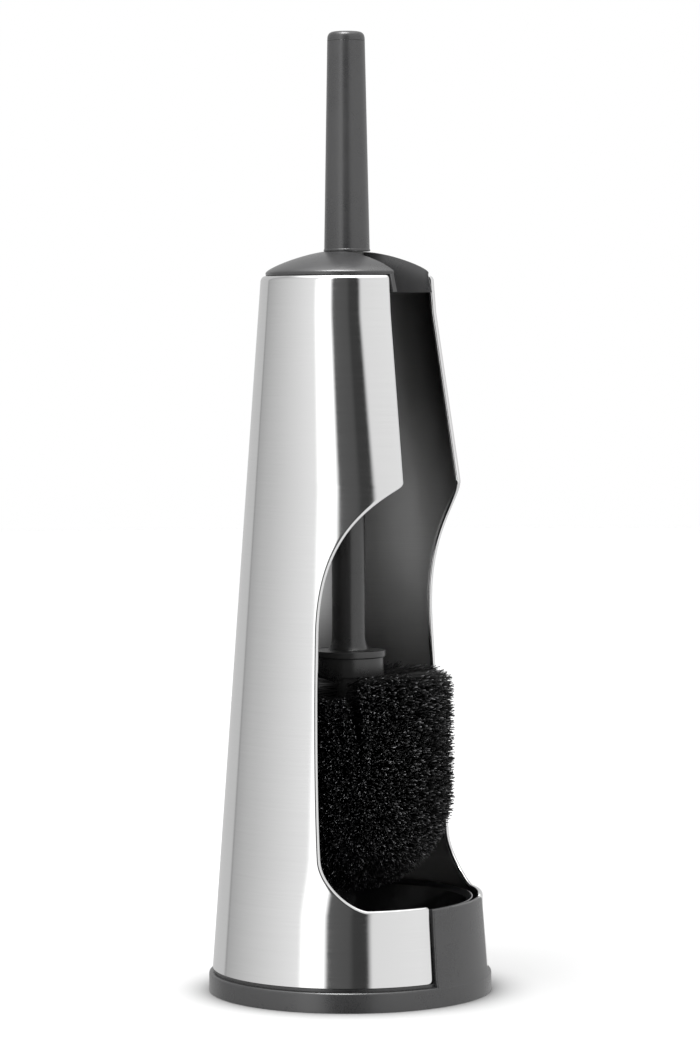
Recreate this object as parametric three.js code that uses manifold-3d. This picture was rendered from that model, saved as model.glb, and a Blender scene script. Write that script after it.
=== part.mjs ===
// Toilet brush holder: a conical steel jacket, open at the front, on a plastic base.
// The brush hangs by its handle from the slotted cap and slides out towards -Y.
// Millimetres, +Z up. The origin is the centre of the base's underside.
// Angles called "theta" are degrees round Z, measured from the -Y direction (the slot).
import * as THREE from 'three';
import { mergeVertices } from 'three/addons/utils/BufferGeometryUtils.js';
import Module from 'manifold-3d';

const wasm = await Module();
wasm.setup();

// ---- Driving dimensions ---------------------------------------------------------------

const TOTAL_HEIGHT = 435;
const GAP = 0.3;                      // clearance between pieces that touch
const PAST = 5;                       // how far a cutting body reaches past the piece that it cuts
const FACETS = { base: 64, cap: 56, bucket: 48, core: 36, handle: 32, tip: 24 };   // round each turned piece

const BASE = {
  radius: 64.5, ringHeight: 9, edgeRound: 1.2, floorBottom: 1.5, floorTop: 4.5,
  footWidth: 6, ledgeHeight: 10.5, ledgeRadius: 61.6, draft: 0.1,
  upstandTop: 28, upstandInner: 57.6, upstandPlay: 0.7,
};
const PANEL = { top: 43.5, halfAngle: 20.9, proud: 0.7, thickness: 2.4, topRound: 0.9, footRise: 4 };

const JACKET = {
  bottom: 10.8, top: 325, thickness: 0.8,
  radiusAtZero: 63.54, taper: 0.07546,       // outer radius = radiusAtZero - taper * z
  shoulder: 2.4,                             // rounding of the top edge
  lipRadius: 1.5, lipDepth: 2.4,             // curled edge round the cut
};
const FLARE = {
  amount: 5.3, top: 308, full: 228, fadeFrom: 31, fadeTo: 110, fadePower: 1.35, lowEnd: 38, lowFull: 72,
};
const SLOT_ANGLE = 28.8;              // half angle of the upper slot
const OPENING_ANGLE = 73.3;           // widest half angle of the opening
const BAND_TOP = 44.7;                // height of the opening's bottom edge
const NOTCH_ANGLE = 22;               // half angle of the notch in the bottom band
const NOTCH_ROUND = { angle: 2.5, height: 2.6, footAngle: 2, footHeight: 2.2 };

// The rounded stretches of the cut edge as Bezier control points: [theta, height].
const FLAP_CORNER = [[SLOT_ANGLE, 233], [SLOT_ANGLE, 231.4], [32, 229.9]];
const OPENING_TOP = [[32, 229.9], [62.7, 215.5], [OPENING_ANGLE, 195], [OPENING_ANGLE, 165]];
const OPENING_SIDE = [[OPENING_ANGLE, 165], [OPENING_ANGLE, 134.6], [72.6, 96.2], [70.9, 67]];
const OPENING_CORNER = [[70.9, 67], [70.3, 56], [56.6, BAND_TOP], [50, BAND_TOP]];

const BUCKET = {
  bottom: 5, top: 43.2, bottomRadius: 50, topRadius: 54.6, rimRadius: 56.3, rimHeight: 2.4, wall: 1.8,
  footRound: 3, rimRound: 0.8,
};
const CAP = {
  rimRadius: 36.9, rimBottom: 325.3, top: 335.8, wall: 2,
  skirtBottom: 317.2, skirtTopRadius: 33.6, skirtBottomRadius: 36.3,
  slotSeatRadius: 8.8, slotHalfAtRim: 15.5,
  slotWallFoot: 38.7,                        // the slot's walls reach out to here at the skirt's foot
  dome: [[36.9, 325.9], [37.8, 327.9], [22.1, 334.2], [10.8, 335.8]],   // Bezier points of its section
};
const HANDLE = {
  bottom: CAP.top + GAP, bottomRadius: 10.3, topRadius: 8.5, seam: 430.6, footInset: 0.5, footHeight: 0.8,
};
const END_CAP = { plugRadius: 5.4, plugLength: 10, edgeRound: 2.2 };
const STEM = {
  radius: 7.6, insertRadius: 6.9, insertLength: 62, flareHeight: 6, flareRadius: 9.6,
  flangeTop: 155.4, flangeBottom: 152.2, flangeRadius: 16.8, flangeRound: 0.6,
  plugRadius: 6.2, plugBottom: 136,
  lugReach: 8.4, lugHeight: 3, lugBottom: 138.2, lugWidth: 5,
};
const HEAD = {
  collarRadius: 15.9, collarBottom: 143.6,
  socketRadius: 6.6, socketBottom: 134.5, channelRadius: 8.8, channelTop: 142, mouthWidth: 5.8,
  coreRadius: 14.9, coreBottom: 60, coreEndRound: 8,
};
const BRISTLES = {
  columns: 12, outerRadius: 46.7, top: 145.6, bottom: 46.2, shoulder: 91, fillAngle: 13.4,
  tipTop: 57.5, tipRadius: 21, topRound: 5,
};

// ---- Materials --------------------------------------------------------------------------

const steel = new THREE.MeshStandardMaterial({ color: 0xc9cbcc, roughness: 0.2, metalness: 1 });
const greyPlastic = new THREE.MeshStandardMaterial({ color: 0x55575a, roughness: 0.42, metalness: 0 });
const blackPlastic = new THREE.MeshStandardMaterial({ color: 0x151617, roughness: 0.28, metalness: 0 });
const headPlastic = new THREE.MeshStandardMaterial({ color: 0x1f2022, roughness: 0.45, metalness: 0 });
const bristleNylon = new THREE.MeshStandardMaterial({ color: 0x0d0d0e, roughness: 0.6, metalness: 0 });

// ---- Small tools ------------------------------------------------------------------------

const lerp = THREE.MathUtils.lerp;
const radians = THREE.MathUtils.degToRad;
const smooth = (value, from, to) => THREE.MathUtils.smoothstep(value, from, to);

// A point at radius r and angle theta from the slot, at height z.
function polar(r, theta, z) {
  const angle = radians(theta);
  return [r * Math.sin(angle), -r * Math.cos(angle), z];
}

// Only positions, with shared vertices merged, so that neighbouring faces share their corners.
function welded(geometry) {
  const bare = geometry.clone();
  bare.deleteAttribute('normal');
  bare.deleteAttribute('uv');
  return mergeVertices(bare, 1e-4);
}

// Turns a profile of [radius, height] pairs round Z. It runs anticlockwise, with the outside upward.
function lathe(profile, segments) {
  const points = profile.map(([r, z]) => new THREE.Vector2(r, z));
  const geometry = new THREE.LatheGeometry(points, segments);
  geometry.rotateX(Math.PI / 2);
  return welded(geometry);
}

// Extrudes a flat outline of [x, y] pairs from z = bottom to z = top.
function prism(outline, bottom, top) {
  const shape = new THREE.Shape(outline.map(([x, y]) => new THREE.Vector2(x, y)));
  const geometry = new THREE.ExtrudeGeometry(shape, { depth: top - bottom, bevelEnabled: false });
  geometry.translate(0, 0, bottom);
  return welded(geometry);
}

function toSolid(geometry) {
  const vertProperties = new Float32Array(geometry.attributes.position.array);
  const triVerts = new Uint32Array(geometry.index.array);
  return new wasm.Manifold(new wasm.Mesh({ numProp: 3, vertProperties, triVerts }));
}

function toGeometry(solid) {
  const result = solid.getMesh();
  const geometry = new THREE.BufferGeometry();
  geometry.setAttribute('position', new THREE.BufferAttribute(result.vertProperties, 3));
  geometry.setIndex(new THREE.BufferAttribute(result.triVerts, 1));
  return geometry;
}

// A line, or a Bezier curve of the degree that its number of control points gives.
function bezier(controls) {
  const points = controls.map(([x, y]) => new THREE.Vector2(x, y));
  const kinds = { 2: THREE.LineCurve, 3: THREE.QuadraticBezierCurve, 4: THREE.CubicBezierCurve };
  return new kinds[points.length](...points);
}

// Points of a circle's arc between two angles, for rounded edges of a profile.
function arc(centreR, centreZ, radius, fromDegrees, toDegrees, steps) {
  return Array.from({ length: steps + 1 }, (_, i) => {
    const angle = radians(lerp(fromDegrees, toDegrees, i / steps));
    return [centreR + radius * Math.cos(angle), centreZ + radius * Math.sin(angle)];
  });
}

// ---- Jacket: rolled sheet steel with a cut front -----------------------------------------

// Outer radius of the bare cone at height z.
const coneRadius = (z) => JACKET.radiusAtZero - JACKET.taper * z;

// The flaps beside the slot stand out from the cone, most of all at their lower corners.
function flare(theta, z) {
  const growth = THREE.MathUtils.clamp((FLARE.top - z) / (FLARE.top - FLARE.full), 0, 1);
  const low = smooth(z, FLARE.lowEnd, FLARE.lowFull);
  const share = (FLARE.fadeTo - Math.abs(theta)) / (FLARE.fadeTo - FLARE.fadeFrom);
  const round = THREE.MathUtils.clamp(share, 0, 1) ** FLARE.fadePower;
  return FLARE.amount * growth * low * round;
}

// How far the rounded top edge turns in.
function shoulderInset(z) {
  const above = Math.max(0, z - (JACKET.top - JACKET.shoulder));
  return JACKET.shoulder - Math.sqrt(Math.max(0, JACKET.shoulder ** 2 - above ** 2));
}

const jacketRadius = (theta, z) => coneRadius(z) + flare(theta, z) - shoulderInset(z);

// The cut edge on one side, as curves in the plane of theta (degrees) and height,
// from the top of the slot down to the corner of the notch in the bottom band.
function cutEdge() {
  const { top, shoulder, bottom } = JACKET;
  const { angle, height, footAngle, footHeight } = NOTCH_ROUND;
  const bandEnd = OPENING_CORNER[3];
  // Each stretch is its control points and the number of steps along it.
  const stretches = [
    [[[SLOT_ANGLE, top], [SLOT_ANGLE, top - shoulder]], 3],
    [[[SLOT_ANGLE, top - shoulder], [SLOT_ANGLE, FLARE.top]], 1],
    [[[SLOT_ANGLE, FLARE.top], FLAP_CORNER[0]], 4],
    [FLAP_CORNER, 3],
    [OPENING_TOP, 10],
    [OPENING_SIDE, 4],
    [OPENING_CORNER, 6],
    [[bandEnd, [NOTCH_ANGLE + angle, BAND_TOP]], 3],
    [[[NOTCH_ANGLE + angle, BAND_TOP], [NOTCH_ANGLE, BAND_TOP], [NOTCH_ANGLE, BAND_TOP - height]], 3],
    [[[NOTCH_ANGLE, BAND_TOP - height], [NOTCH_ANGLE, bottom + footHeight]], 2],
    [[[NOTCH_ANGLE, bottom + footHeight], [NOTCH_ANGLE, bottom], [NOTCH_ANGLE + footAngle, bottom]], 3],
  ];
  return stretches.flatMap(([controls, steps], i) => bezier(controls).getPoints(steps).slice(i ? 1 : 0));
}

// The direction along the sheet and away from the cut, in millimetres, at point i of the edge.
function intoSheet(edge, i) {
  const before = edge[Math.max(0, i - 1)];
  const after = edge[Math.min(edge.length - 1, i + 1)];
  const nearTop = edge[i].y > JACKET.top - JACKET.shoulder;
  const nearBottom = edge[i].y <= JACKET.bottom + NOTCH_ROUND.footHeight;
  if (nearTop || nearBottom) return new THREE.Vector2(1, 0);
  const along = radians(after.x - before.x) * coneRadius(edge[i].y);
  return new THREE.Vector2(before.y - after.y, along).normalize();
}

// One row of the sheet: from the cut edge, round the curled lip and on to the middle of the back.
function jacketRow(edge, i, backHeight, side) {
  const { thickness, lipRadius, lipDepth } = JACKET;
  const start = edge[i];
  const away = intoSheet(edge, i);
  const place = (distance, inset) => {
    const theta = start.x + THREE.MathUtils.radToDeg(away.x * distance / coneRadius(start.y));
    const z = start.y + away.y * distance;
    return polar(jacketRadius(theta, z) - inset, side * theta, z);
  };
  const turned = lipRadius * (1 - Math.SQRT1_2);
  const inner = lipRadius - thickness;
  const turnedInside = lipRadius - inner * Math.SQRT1_2;
  const outerLip = [[0, lipDepth], [0, lipRadius], [turned, turned], [lipRadius, 0]];
  const innerLip = [
    [thickness, lipDepth], [thickness, lipRadius], [turnedInside, turnedInside], [lipRadius, thickness],
  ];
  const from = start.clone();
  from.x += THREE.MathUtils.radToDeg(away.x * lipRadius / coneRadius(start.y));
  from.y += away.y * lipRadius;
  const columns = 12;
  const sheet = (inset) => Array.from({ length: columns }, (_, k) => {
    const share = (k + 1) / columns;
    const z = lerp(from.y, backHeight, share);
    return polar(jacketRadius(lerp(from.x, 180, share), z) - inset, side * lerp(from.x, 180, share), z);
  });
  return {
    outer: [...outerLip.map(([d, inset]) => place(d, inset)), ...sheet(0)],
    inner: [...innerLip.map(([d, inset]) => place(d, inset)), ...sheet(thickness)],
  };
}

// Heights down the middle of the back that pair up with the points of the cut edge.
function backHeights(edge) {
  const sideways = 0.12;
  const travelled = [0];
  for (let i = 1; i < edge.length; i++) {
    const step = edge[i - 1].y - edge[i].y + sideways * Math.abs(edge[i].x - edge[i - 1].x);
    travelled.push(travelled[i - 1] + step);
  }
  const total = travelled[travelled.length - 1];
  return travelled.map((distance) => lerp(JACKET.top, JACKET.bottom, distance / total));
}

function jacketGeometry() {
  const edge = cutEdge();
  const heights = backHeights(edge);
  // A whole row runs round the back from the left cut edge to the right one.
  const rows = edge.map((_, i) => {
    const left = jacketRow(edge, i, heights[i], -1);
    const right = jacketRow(edge, i, heights[i], 1);
    return {
      outer: [...left.outer, ...right.outer.slice(0, -1).reverse()],
      inner: [...left.inner, ...right.inner.slice(0, -1).reverse()],
    };
  });
  const width = rows[0].outer.length;
  const positions = rows.flatMap((row) => [...row.outer, ...row.inner]).flat();
  const outerAt = (i, j) => i * 2 * width + j;
  const innerAt = (i, j) => i * 2 * width + width + j;
  const triangles = [];
  const quad = (a, b, c, d) => triangles.push(a, b, c, a, c, d);
  const last = rows.length - 1;
  for (let i = 0; i < last; i++) {
    for (let j = 0; j < width - 1; j++) {
      quad(outerAt(i, j), outerAt(i, j + 1), outerAt(i + 1, j + 1), outerAt(i + 1, j));
      quad(innerAt(i, j), innerAt(i + 1, j), innerAt(i + 1, j + 1), innerAt(i, j + 1));
    }
    quad(outerAt(i, 0), outerAt(i + 1, 0), innerAt(i + 1, 0), innerAt(i, 0));
    const end = width - 1;
    quad(outerAt(i, end), innerAt(i, end), innerAt(i + 1, end), outerAt(i + 1, end));
  }
  for (let j = 0; j < width - 1; j++) {
    quad(outerAt(0, j), innerAt(0, j), innerAt(0, j + 1), outerAt(0, j + 1));
    quad(outerAt(last, j), outerAt(last, j + 1), innerAt(last, j + 1), innerAt(last, j));
  }
  const geometry = new THREE.BufferGeometry();
  geometry.setAttribute('position', new THREE.Float32BufferAttribute(positions, 3));
  geometry.setIndex(triangles);
  return geometry;
}

// ---- Base: ring, floor and upstand, with the front panel that fills the jacket's notch ----

// A pie slice round the slot direction, reaching past the base.
function slice(halfAngle, bottom, top) {
  const reach = BASE.radius + 5 * PAST;
  const edgePoints = [-halfAngle, -halfAngle / 2, 0, halfAngle / 2, halfAngle];
  const outline = edgePoints.map((theta) => polar(reach, theta, 0).slice(0, 2));
  return toSolid(prism([[0, 0], ...outline], bottom, top));
}

function baseGeometry() {
  const b = BASE;
  const inside = (z) => coneRadius(z) - JACKET.thickness - b.upstandPlay;
  const body = toSolid(lathe([
    [0, b.floorBottom],
    [b.radius - b.footWidth, b.floorBottom],
    [b.radius - b.footWidth, 0],
    [b.radius, 0],
    ...arc(b.radius - b.edgeRound - b.draft, b.ringHeight - b.edgeRound, b.edgeRound, 0, 90, 3),
    [b.ledgeRadius, b.ringHeight],
    [b.ledgeRadius, b.ledgeHeight],
    [inside(b.ledgeHeight), b.ledgeHeight],
    [inside(b.upstandTop), b.upstandTop],
    [b.upstandInner, b.upstandTop],
    [b.upstandInner, b.floorTop],
    [0, b.floorTop],
  ], FACETS.base));
  // The lips of the jacket's notch stand inside the sheet, so the upstand stops short of them.
  const notchReach = NOTCH_ANGLE + 4;
  const clearNotch = slice(notchReach, b.ledgeHeight, b.upstandTop + PAST);
  const floorOnly = toSolid(lathe([
    [0, b.ledgeHeight - 1],
    [b.upstandInner - GAP, b.ledgeHeight - 1],
    [b.upstandInner - GAP, b.upstandTop + PAST + 1],
    [0, b.upstandTop + PAST + 1],
  ], FACETS.base));
  const trimmed = body.subtract(clearNotch.subtract(floorOnly));
  return toGeometry(trimmed.add(panelSolid()));
}

// The panel is a slice of a conical wall, proud of the jacket, whose foot runs into the ring's face.
function panelSolid() {
  const p = PANEL;
  const low = BASE.ringHeight - BASE.edgeRound;
  const face = (z) => coneRadius(z) + p.proud;
  const back = face(p.top) - p.thickness;
  const foot = BASE.ringHeight + p.footRise;
  const wall = toSolid(lathe([
    [back, low],
    [BASE.radius - BASE.draft, low],
    [face(foot), foot],
    [face(p.top - p.topRound), p.top - p.topRound],
    [face(p.top) - p.topRound, p.top],
    [back, p.top],
    [back, low],
  ], FACETS.base));
  return wall.intersect(slice(p.halfAngle, low - 1, p.top + 1));
}

// ---- Inner bucket --------------------------------------------------------------------------

function bucketGeometry() {
  const b = BUCKET;
  const rimBottom = b.top - b.rimHeight;
  return lathe([
    [0, b.bottom],
    [b.bottomRadius - b.footRound, b.bottom],
    [b.bottomRadius, b.bottom + b.footRound],
    [b.topRadius, rimBottom],
    [b.rimRadius, rimBottom],
    [b.rimRadius, b.top - b.rimRound],
    [b.rimRadius - b.rimRound, b.top],
    [b.topRadius - b.wall, b.top - b.rimRound / 2],
    [b.bottomRadius - b.wall, b.bottom + 2 * b.wall],
    [b.bottomRadius - b.wall - b.footRound, b.bottom + b.wall],
    [0, b.bottom + b.wall],
  ], FACETS.bucket);
}

// ---- Cap: dome, skirt and the open slot for the stem ----------------------------------------

// The dome's outer profile from its rim to its middle, set in by the given distance.
function domeProfile(inset) {
  const [rim, ...others] = CAP.dome;
  const controls = [[rim[0] - inset, rim[1] - inset / 2], ...others.map(([r, z]) => [r - inset, z - inset])];
  controls[3][0] += inset;
  const points = bezier(controls).getPoints(7).map((p) => [p.x, p.y]);
  return [...points, [0, CAP.top - inset]];
}

// A tapered slot outline, open towards -Y, round end at the middle, widened by the given margin.
function slotOutline(margin, reach) {
  const seat = CAP.slotSeatRadius + margin;
  const rim = CAP.slotHalfAtRim + margin;
  const growth = (rim - seat) / CAP.rimRadius;
  const mouth = seat + growth * reach;
  const end = arc(0, 0, seat, 0, 180, 12);
  return [[mouth, -reach], ...end, [-mouth, -reach]];
}

function capGeometry() {
  const c = CAP;
  const outer = toSolid(lathe([
    [0, c.skirtBottom],
    [c.skirtBottomRadius, c.skirtBottom],
    [c.skirtTopRadius, c.rimBottom],
    [c.rimRadius, c.rimBottom],
    ...domeProfile(0),
  ], FACETS.cap));
  const hollow = toSolid(lathe([
    [0, c.skirtBottom - 1],
    [c.skirtBottomRadius - c.wall, c.skirtBottom - 1],
    [c.skirtTopRadius - c.wall, c.rimBottom - c.wall],
    ...domeProfile(c.wall).slice(1),
  ], FACETS.cap));
  const low = c.skirtBottom - PAST;
  const high = c.top + PAST;
  // The slot's walls stand out through the jacket's slot, further than the skirt behind the sheet.
  const wallReach = toSolid(lathe([
    [0, c.skirtBottom],
    [c.slotWallFoot, c.skirtBottom],
    [c.rimRadius, c.rimBottom],
    ...domeProfile(0),
  ], FACETS.cap));
  const walls = toSolid(prism(slotOutline(c.wall, 2 * c.rimRadius), low, high)).intersect(wallReach);
  const slot = toSolid(prism(slotOutline(0, 2.2 * c.rimRadius), low - 1, high + 1));
  return toGeometry(outer.subtract(hollow).add(walls).subtract(slot));
}

// ---- Handle, end cap and stem -----------------------------------------------------------------

function gripGeometry() {
  const h = HANDLE;
  const bore = STEM.insertRadius + GAP;
  const plug = END_CAP.plugRadius + GAP;
  const step = h.bottom + STEM.insertLength + 2;
  return lathe([
    [bore, h.bottom],
    [h.bottomRadius - h.footInset, h.bottom],
    [h.bottomRadius, h.bottom + h.footHeight],
    [h.topRadius, h.seam],
    [plug, h.seam],
    [plug, step],
    [bore, step - 1],
    [bore, h.bottom],
  ], FACETS.handle);
}

function endCapGeometry() {
  const h = HANDLE;
  const e = END_CAP;
  const seam = h.seam + GAP;
  return lathe([
    [0, seam - e.plugLength],
    [e.plugRadius, seam - e.plugLength],
    [e.plugRadius, seam],
    [h.topRadius, seam],
    ...arc(h.topRadius - e.edgeRound, TOTAL_HEIGHT - e.edgeRound, e.edgeRound, 0, 90, 4),
    [0, TOTAL_HEIGHT],
  ], FACETS.handle);
}

// The stem hangs below the grip, flares into a flange and ends in a plug with two lugs.
function stemGeometry() {
  const s = STEM;
  const shoulder = HANDLE.bottom - GAP;
  const body = toSolid(lathe([
    [0, s.plugBottom],
    [s.plugRadius, s.plugBottom],
    [s.plugRadius, s.flangeBottom],
    [s.flangeRadius - s.flangeRound, s.flangeBottom],
    [s.flangeRadius, s.flangeBottom + s.flangeRound],
    [s.flangeRadius, s.flangeTop - 1],
    [s.flangeRadius - 1, s.flangeTop],
    [s.flareRadius, s.flangeTop],
    [s.radius + 0.4, s.flangeTop + 0.45 * s.flareHeight],
    [s.radius, s.flangeTop + s.flareHeight],
    [s.radius, shoulder],
    [s.insertRadius, shoulder],
    [s.insertRadius, shoulder + s.insertLength],
    [0, shoulder + s.insertLength],
  ], FACETS.handle));
  const half = s.lugWidth / 2;
  const lugs = toSolid(prism([
    [-s.lugReach, -half], [s.lugReach, -half], [s.lugReach, half], [-s.lugReach, half],
  ], s.lugBottom, s.lugBottom + s.lugHeight));
  return toGeometry(body.add(lugs));
}

// ---- Brush head ---------------------------------------------------------------------------------

// Collar and core in one moulding. The stem's lugs lock under the mouth of its socket.
function headCoreGeometry() {
  const h = HEAD;
  const collarTop = STEM.flangeBottom - GAP;
  const body = toSolid(lathe([
    [0, h.coreBottom],
    ...arc(h.coreRadius - h.coreEndRound, h.coreBottom + h.coreEndRound, h.coreEndRound, -90, 0, 3),
    [h.coreRadius, h.collarBottom],
    [h.collarRadius, h.collarBottom],
    [h.collarRadius, collarTop],
    [0, collarTop],
  ], FACETS.core));
  const bore = toSolid(lathe([
    [0, h.socketBottom],
    [h.socketRadius, h.socketBottom],
    [h.socketRadius, collarTop + 1],
    [0, collarTop + 1],
  ], FACETS.handle));
  const channel = toSolid(lathe([
    [0, h.socketBottom + 2],
    [h.channelRadius, h.socketBottom + 2],
    [h.channelRadius, h.channelTop],
    [0, h.channelTop],
  ], FACETS.handle));
  // The way in for the lugs is a quarter turn from where they lock.
  const half = h.mouthWidth / 2;
  const mouth = toSolid(prism([
    [-half, -h.channelRadius], [half, -h.channelRadius], [half, h.channelRadius], [-half, h.channelRadius],
  ], h.channelTop - 1, collarTop + 1));
  return toGeometry(body.subtract(bore).subtract(channel).subtract(mouth));
}

// Outer radius of the bristles at height z: straight above the shoulder, elliptical below it.
function bristleRadius(z) {
  const b = BRISTLES;
  if (z >= b.shoulder) return b.outerRadius;
  const drop = (b.shoulder - z) / (b.shoulder - b.bottom + 3);
  return b.outerRadius * Math.sqrt(1 - drop ** 2);
}

// One column of tufts: a wedge between two angles, from the core out to the bristle tips.
function bristleColumnGeometry(centreTheta) {
  const b = BRISTLES;
  const root = HEAD.coreRadius + GAP;
  const steps = 5;
  const lower = Array.from({ length: steps + 1 }, (_, i) => lerp(b.tipTop, b.shoulder, i / steps));
  const rootBottom = HEAD.coreBottom + HEAD.coreEndRound;
  const profile = [
    [root, rootBottom],
    [b.tipRadius + 1, b.tipTop],
    ...lower.map((z) => [bristleRadius(z), z]),
    [b.outerRadius, b.top - b.topRound],
    [b.outerRadius - b.topRound, b.top],
    [HEAD.collarRadius + 1, b.top],
    [HEAD.collarRadius + 1, HEAD.collarBottom - 1],
    [root, HEAD.collarBottom - 1],
  ];
  const faces = THREE.ShapeUtils.triangulateShape(profile.map(([r, z]) => new THREE.Vector2(r, z)), []);
  const angles = [-b.fillAngle, 0, b.fillAngle].map((offset) => centreTheta + offset);
  const positions = angles.flatMap((theta) => profile.flatMap(([r, z]) => polar(r, theta, z)));
  const count = profile.length;
  const triangles = [];
  for (const [p, q, r] of faces) {
    triangles.push(p, q, r);
    triangles.push(2 * count + p, 2 * count + r, 2 * count + q);
  }
  for (let layer = 0; layer < 2; layer++) {
    for (let i = 0; i < count; i++) {
      const next = (i + 1) % count;
      const here = layer * count;
      const there = here + count;
      triangles.push(here + i, there + i, there + next, here + i, there + next, here + next);
    }
  }
  const geometry = new THREE.BufferGeometry();
  geometry.setAttribute('position', new THREE.Float32BufferAttribute(positions, 3));
  geometry.setIndex(triangles);
  return geometry;
}

// The tufts that point down from the end of the core.
function bristleTipGeometry() {
  const b = BRISTLES;
  const heights = [0.25, 0.6, 1].map((share) => lerp(b.bottom, b.tipTop - GAP, share));
  return lathe([
    [0, b.bottom],
    [bristleRadius(b.bottom) - 2, b.bottom],
    ...heights.map((z) => [Math.min(bristleRadius(z), b.tipRadius), z]),
    [0, HEAD.coreBottom - GAP],
  ], FACETS.tip);
}

// ---- Assembly -------------------------------------------------------------------------------------

const assembly = new THREE.Group();

function addPiece(name, geometry, material) {
  geometry.computeVertexNormals();
  const mesh = new THREE.Mesh(geometry, material);
  mesh.name = name;
  assembly.add(mesh);
}

addPiece('base', baseGeometry(), greyPlastic);
addPiece('jacket', jacketGeometry(), steel);
addPiece('inner_bucket', bucketGeometry(), blackPlastic);
addPiece('top_cap', capGeometry(), greyPlastic);
addPiece('handle_grip', gripGeometry(), greyPlastic);
addPiece('handle_end_cap', endCapGeometry(), greyPlastic);
addPiece('stem', stemGeometry(), headPlastic);
addPiece('head_core', headCoreGeometry(), headPlastic);
for (let i = 0; i < BRISTLES.columns; i++) {
  const number = String(i + 1).padStart(2, '0');
  const theta = (i + 0.5) * 360 / BRISTLES.columns;
  addPiece(`bristle_column_${number}`, bristleColumnGeometry(theta), bristleNylon);
}
addPiece('bristle_tip', bristleTipGeometry(), bristleNylon);

export default assembly;
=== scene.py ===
"""Toilet brush holder: the visual model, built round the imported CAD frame.

Shapes are worked out in millimetres in the CAD part's frame, and turned into metres when a mesh is made.
Angles called theta are degrees round Z, measured from -Y, where the holder is open.
"""

import math
import random

import bpy
from mathutils import Matrix, Vector


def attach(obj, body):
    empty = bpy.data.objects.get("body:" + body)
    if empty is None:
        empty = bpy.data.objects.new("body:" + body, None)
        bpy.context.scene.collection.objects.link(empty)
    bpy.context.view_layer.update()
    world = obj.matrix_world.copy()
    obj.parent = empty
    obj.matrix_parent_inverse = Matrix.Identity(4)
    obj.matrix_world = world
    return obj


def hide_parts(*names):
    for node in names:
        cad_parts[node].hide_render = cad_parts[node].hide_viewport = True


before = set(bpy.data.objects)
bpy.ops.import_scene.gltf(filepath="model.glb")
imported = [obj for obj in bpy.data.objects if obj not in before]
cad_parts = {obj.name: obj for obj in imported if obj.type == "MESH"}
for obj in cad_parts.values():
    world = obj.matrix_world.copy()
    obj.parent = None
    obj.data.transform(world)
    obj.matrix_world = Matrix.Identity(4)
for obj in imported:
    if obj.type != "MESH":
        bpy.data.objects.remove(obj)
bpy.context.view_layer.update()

# ---- Driving dimensions, in millimetres and degrees ----------------------------------------------

MM = 0.001
GAP = 0.3
TOTAL_HEIGHT = 435

JACKET_BOTTOM, JACKET_TOP = 10.8, 325
SHEET = 0.8
CONE_AT_ZERO, CONE_TAPER = 63.54, 0.07546
SHOULDER = 2.4
LIP_RADIUS, LIP_DEPTH = 1.5, 2.4
HEM_RADIUS, HEM_END = 0.95, 1.7
FLARE, FLARE_TOP, FLARE_FULL = 5.3, 308, 228
FLARE_FADE_FROM, FLARE_FADE_TO, FLARE_FADE_POWER = 31, 110, 1.35
FLARE_LOW = (38, 72)
SLOT_ANGLE, OPENING_ANGLE, NOTCH_ANGLE = 28.8, 73.3, 22
BAND_TOP = 44.7

BASE_RADIUS, RING_HEIGHT, FOOT_WIDTH = 64.5, 9, 6
RING_DRAFT, RING_ROUND = 0.1, 1.3
FLOOR_BOTTOM, FLOOR_TOP = 1.5, 4.5
LEDGE_RADIUS, LEDGE_HEIGHT = 61.6, 10.5
UPSTAND_TOP, UPSTAND_INNER, UPSTAND_PLAY = 28, 57.6, 0.7
PANEL_TOP, PANEL_ANGLE, PANEL_WALL, PANEL_PROUD = 43.5, 20.9, 2.4, 0.7
PANEL_CORNER, PANEL_FOOT_RISE = 0.9, 4
NOTCH_MARGIN = 4                # the upstand stops this many degrees beyond the notch

BUCKET_BOTTOM, BUCKET_TOP, BUCKET_WALL = 5, 43.2, 1.8
BUCKET_FOOT_RADIUS, BUCKET_TOP_RADIUS, BUCKET_RIM_RADIUS = 50, 54.6, 56.3
BUCKET_RIM_HEIGHT, BUCKET_RIM_SLOPE = 2.4, 1.8

CAP_RIM_RADIUS, CAP_RIM_BOTTOM, CAP_TOP, CAP_WALL = 36.9, 325.3, 335.8, 2
SKIRT_BOTTOM, SKIRT_TOP_RADIUS, SKIRT_FOOT_RADIUS = 317.2, 33.6, 36.3
DOME = [(36.9, 325.9), (37.8, 327.9), (22.1, 334.2), (10.8, 335.8)]
SLOT_SEAT, SLOT_HALF_AT_RIM, SLOT_WALL_FOOT = 8.8, 15.5, 38.7

REST_GAP, SEAM_GAP = 0.1, 0.08       # fine dark lines where pieces rest on each other
GRIP_BOTTOM, GRIP_SEAM = CAP_TOP + REST_GAP, 430.6
GRIP_FOOT_RADIUS, GRIP_TOP_RADIUS = 10.3, 8.5
FOOT_BEAD = 0.25
END_PLUG_RADIUS, END_PLUG_LENGTH = 5.4, 10

STEM_RADIUS, INSERT_RADIUS, INSERT_LENGTH = 7.6, 6.9, 62
FLANGE_TOP, FLANGE_BOTTOM, FLANGE_RADIUS = 155.4, 152.2, 16.8
FLARE_FOOT_RADIUS, STEM_FLARE_HEIGHT = 9.6, 6
PLUG_RADIUS, PLUG_BOTTOM = 6.2, 136
LUG_REACH, LUG_BOTTOM, LUG_HEIGHT, LUG_WIDTH = 8.4, 138.2, 3, 5

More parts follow.
